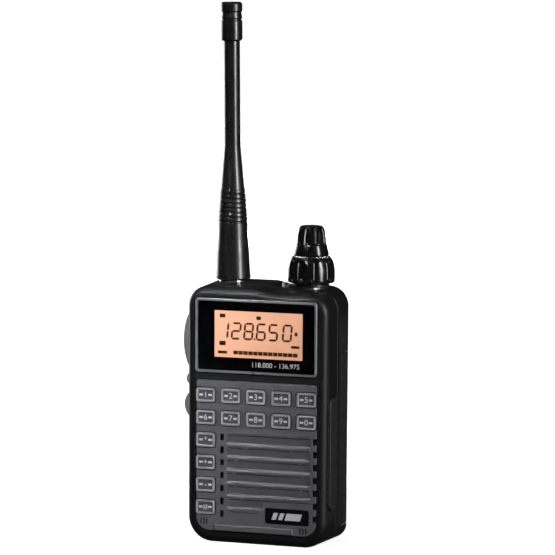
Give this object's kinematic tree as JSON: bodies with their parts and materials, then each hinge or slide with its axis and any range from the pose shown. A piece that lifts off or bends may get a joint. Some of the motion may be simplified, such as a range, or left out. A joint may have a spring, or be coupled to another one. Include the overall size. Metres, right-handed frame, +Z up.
{
  "type": "handheld aviation radio",
  "caption": "Compact handheld transceiver with a two-shell body, lit display, keypad, speaker grille, twin concentric knob, whip antenna, side buttons and latched battery pack.",
  "frame": {"origin": "on the base, midway between the left and right sides and midway between the front and back planes of the body", "axes": "+Z up along the body, -Y out of the display, +X to the right seen from the front"},
  "size_m": [0.0512, 0.0271, 0.1744],
  "materials": {
    "case_black": "fine satin black moulding",
    "fascia_grey": "dark grey satin",
    "keycap": "grey satin with pale edges",
    "bezel_silver": "silver grey satin paint",
    "clear_lens": "clear, glossy",
    "gloss_black": "gloss black",
    "lcd_amber": "lit amber",
    "rubber": "matte black rubber",
    "side_rubber": "matte grey rubber",
    "nickel": "nickel plate",
    "contact_gold": "gold plate",
    "board_green": "solder mask green",
    "steel": "plain steel",
    "speaker_cone": "black paper cone",
    "cell_wrap": "blue film over an aluminium case"
  },
  "bodies": {
    "radio": {"front_case": "case_black", "rear_chassis": "case_black", "control_fascia": "fascia_grey", "display_bezel": "bezel_silver", "window_lens": "clear_lens", "window_mask": "gloss_black", "lcd_panel": "lcd_amber", "lcd_backlight": "lcd_amber", "main_board": "board_green", "rf_shield": "steel", "keypad_membrane": "rubber", "speaker_frame": "steel", "speaker_cone": "speaker_cone", "speaker_magnet": "steel", "microphone": "nickel", "antenna_socket": "nickel", "control_encoder": "steel", "control_nut": "nickel", "audio_jack": "gloss_black", "indicator_lens": "clear_lens", "side_switch_board": "board_green", "case_screw_1": "steel", "case_screw_2": "steel", "case_screw_3": "steel", "battery_terminal_left": "contact_gold", "battery_terminal_right": "contact_gold", "name_plate": "gloss_black", "latch_spring": "steel"},
    "battery": {"battery_tray": "case_black", "battery_cover": "case_black", "battery_cell": "cell_wrap", "battery_contact_left": "contact_gold", "battery_contact_right": "contact_gold"},
    "latch": {"battery_latch": "case_black"},
    "ptt": {"ptt_button": "side_rubber"},
    "monitor": {"monitor_button": "side_rubber"},
    "lamp": {"lamp_button": "side_rubber"},
    "volume": {"volume_knob": "gloss_black", "volume_shaft": "steel"},
    "channel": {"channel_knob": "gloss_black", "channel_shaft": "steel"},
    "antenna_nut": {"antenna_connector": "nickel"},
    "antenna": {"antenna_sheath": "rubber", "antenna_tip_cap": "rubber", "antenna_element": "contact_gold"},
    "jack_flap": {"jack_cover": "rubber"},
    "key_01": {"key_01": "keycap"},
    "key_02": {"key_02": "keycap"},
    "key_03": {"key_03": "keycap"},
    "key_04": {"key_04": "keycap"},
    "key_05": {"key_05": "keycap"},
    "key_06": {"key_06": "keycap"},
    "key_07": {"key_07": "keycap"},
    "key_08": {"key_08": "keycap"},
    "key_09": {"key_09": "keycap"},
    "key_10": {"key_10": "keycap"},
    "key_11": {"key_11": "keycap"},
    "key_12": {"key_12": "keycap"},
    "key_13": {"key_13": "keycap"},
    "key_14": {"key_14": "keycap"}
  },
  "joints": [
    {"name": "key_01_press", "type": "slide", "parent": "radio", "child": "key_01", "axis": [0, 1, 0], "range_m": [0, 0.0006], "stiffness_N_per_m": 2500, "springref_m": -0.0002},
    {"name": "key_02_press", "type": "slide", "parent": "radio", "child": "key_02", "axis": [0, 1, 0], "range_m": [0, 0.0006], "stiffness_N_per_m": 2500, "springref_m": -0.0002},
    {"name": "key_03_press", "type": "slide", "parent": "radio", "child": "key_03", "axis": [0, 1, 0], "range_m": [0, 0.0006], "stiffness_N_per_m": 2500, "springref_m": -0.0002},
    {"name": "key_04_press", "type": "slide", "parent": "radio", "child": "key_04", "axis": [0, 1, 0], "range_m": [0, 0.0006], "stiffness_N_per_m": 2500, "springref_m": -0.0002},
    {"name": "key_05_press", "type": "slide", "parent": "radio", "child": "key_05", "axis": [0, 1, 0], "range_m": [0, 0.0006], "stiffness_N_per_m": 2500, "springref_m": -0.0002},
    {"name": "key_06_press", "type": "slide", "parent": "radio", "child": "key_06", "axis": [0, 1, 0], "range_m": [0, 0.0006], "stiffness_N_per_m": 2500, "springref_m": -0.0002},
    {"name": "key_07_press", "type": "slide", "parent": "radio", "child": "key_07", "axis": [0, 1, 0], "range_m": [0, 0.0006], "stiffness_N_per_m": 2500, "springref_m": -0.0002},
    {"name": "key_08_press", "type": "slide", "parent": "radio", "child": "key_08", "axis": [0, 1, 0], "range_m": [0, 0.0006], "stiffness_N_per_m": 2500, "springref_m": -0.0002},
    {"name": "key_09_press", "type": "slide", "parent": "radio", "child": "key_09", "axis": [0, 1, 0], "range_m": [0, 0.0006], "stiffness_N_per_m": 2500, "springref_m": -0.0002},
    {"name": "key_10_press", "type": "slide", "parent": "radio", "child": "key_10", "axis": [0, 1, 0], "range_m": [0, 0.0006], "stiffness_N_per_m": 2500, "springref_m": -0.0002},
    {"name": "key_11_press", "type": "slide", "parent": "radio", "child": "key_11", "axis": [0, 1, 0], "range_m": [0, 0.0006], "stiffness_N_per_m": 2500, "springref_m": -0.0002},
    {"name": "key_12_press", "type": "slide", "parent": "radio", "child": "key_12", "axis": [0, 1, 0], "range_m": [0, 0.0006], "stiffness_N_per_m": 2500, "springref_m": -0.0002},
    {"name": "key_13_press", "type": "slide", "parent": "radio", "child": "key_13", "axis": [0, 1, 0], "range_m": [0, 0.0006], "stiffness_N_per_m": 2500, "springref_m": -0.0002},
    {"name": "key_14_press", "type": "slide", "parent": "radio", "child": "key_14", "axis": [0, 1, 0], "range_m": [0, 0.0006], "stiffness_N_per_m": 2500, "springref_m": -0.0002},
    {"name": "ptt_press", "type": "slide", "parent": "radio", "child": "ptt", "axis": [1, 0, 0], "range_m": [0, 0.0008], "stiffness_N_per_m": 1500, "springref_m": -0.0005},
    {"name": "monitor_press", "type": "slide", "parent": "radio", "child": "monitor", "axis": [1, 0, 0], "range_m": [0, 0.0006], "stiffness_N_per_m": 1500, "springref_m": -0.0005},
    {"name": "lamp_press", "type": "slide", "parent": "radio", "child": "lamp", "axis": [1, 0, 0], "range_m": [0, 0.0006], "stiffness_N_per_m": 1500, "springref_m": -0.0005},
    {"name": "volume_turn", "type": "hinge", "parent": "radio", "child": "volume", "pos_m": [0.01335, 0.0025, 0.0846], "axis": [0, 0, -1], "range_deg": [0, 280]},
    {"name": "channel_turn", "type": "hinge", "parent": "radio", "child": "channel", "pos_m": [0.01335, 0.0025, 0.0932], "axis": [0, 0, -1], "continuous": true},
    {"name": "antenna_lift", "type": "slide", "parent": "radio", "child": "antenna_nut", "axis": [-0.0105, 0, 0.9999], "range_m": [0, 0.0049]},
    {"name": "antenna_turn", "type": "hinge", "parent": "antenna_nut", "child": "antenna", "pos_m": [-0.01325, 0.0025, 0.0847], "axis": [-0.0105, 0, 0.9999], "range_deg": [0, 2510]},
    {"name": "battery_slide", "type": "slide", "parent": "radio", "child": "battery", "axis": [0, 1, 0], "range_m": [0, 0.02]},
    {"name": "latch_slide", "type": "slide", "parent": "radio", "child": "latch", "axis": [0, 0, 1], "range_m": [0, 0.002], "stiffness_N_per_m": 300, "springref_m": -0.003, "deforming": ["latch_spring"]},
    {"name": "jack_flap_hinge", "type": "hinge", "parent": "radio", "child": "jack_flap", "pos_m": [0.0246, -0.0074, 0.0124], "axis": [0, 1, 0], "range_deg": [0, 110]}
  ],
  "couplings": [
    {"joint": "antenna_turn", "follows": "antenna_lift", "rad_per_m": 8905}
  ]
}
